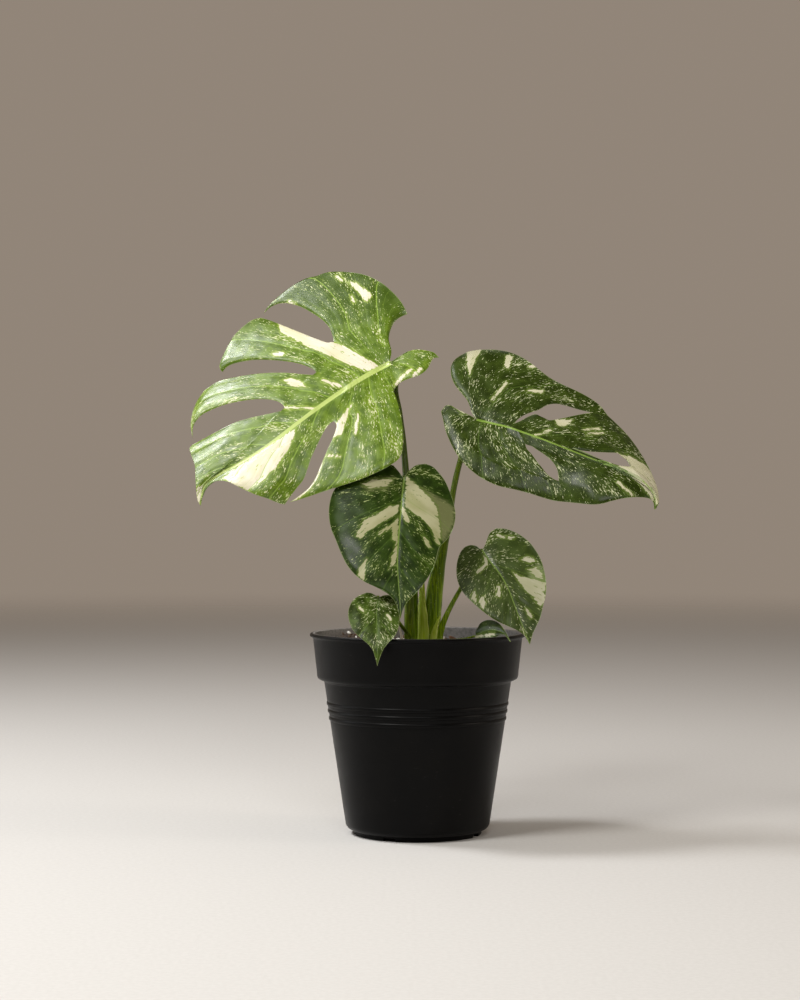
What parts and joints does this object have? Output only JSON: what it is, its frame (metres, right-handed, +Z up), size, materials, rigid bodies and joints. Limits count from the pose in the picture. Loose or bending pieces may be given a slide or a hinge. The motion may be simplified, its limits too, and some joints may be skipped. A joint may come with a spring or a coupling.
{
  "type": "potted thai constellation monstera",
  "caption": "Young variegated split-leaf monstera with slit and holed leaves on arching stalks, growing in a plain ribbed nursery pot filled with soil.",
  "frame": {"origin": "on the pot's axis at the floor it stands on, at the centre of the part's footprint box", "axes": "+Z up along the pot's axis; +X to the right of the large left leaf's viewer; -Y towards that viewer"},
  "size_m": [0.3683, 0.1869, 0.4527],
  "materials": {
    "pot": "satin black moulded plastic, lightly scuffed",
    "soil": "damp peat and bark mix",
    "leaf_light": "glossy light green with cream flecks and patches",
    "leaf_dark": "glossy dark green with pale flecks and patches",
    "leaf_young": "satin green with few pale flecks",
    "stalk": "smooth satin green",
    "sheath": "thin yellow-green with pale edges",
    "dry_sheath": "dry papery brown-grey"
  },
  "bodies": {
    "root": {"pot": "pot", "soil": "soil", "crown": "stalk", "leaf_a": "leaf_light", "leaf_b": "leaf_dark", "leaf_c": "leaf_dark", "leaf_d": "leaf_young", "leaf_e": "leaf_dark", "leaf_f": "leaf_young", "petiole_a": "stalk", "petiole_b": "stalk", "petiole_c": "stalk", "petiole_d": "stalk", "petiole_e": "stalk", "petiole_f": "stalk", "spear": "sheath", "sheath_b": "sheath", "sheath_e": "sheath", "dry_sheath": "dry_sheath"}
  },
  "joints": []
}
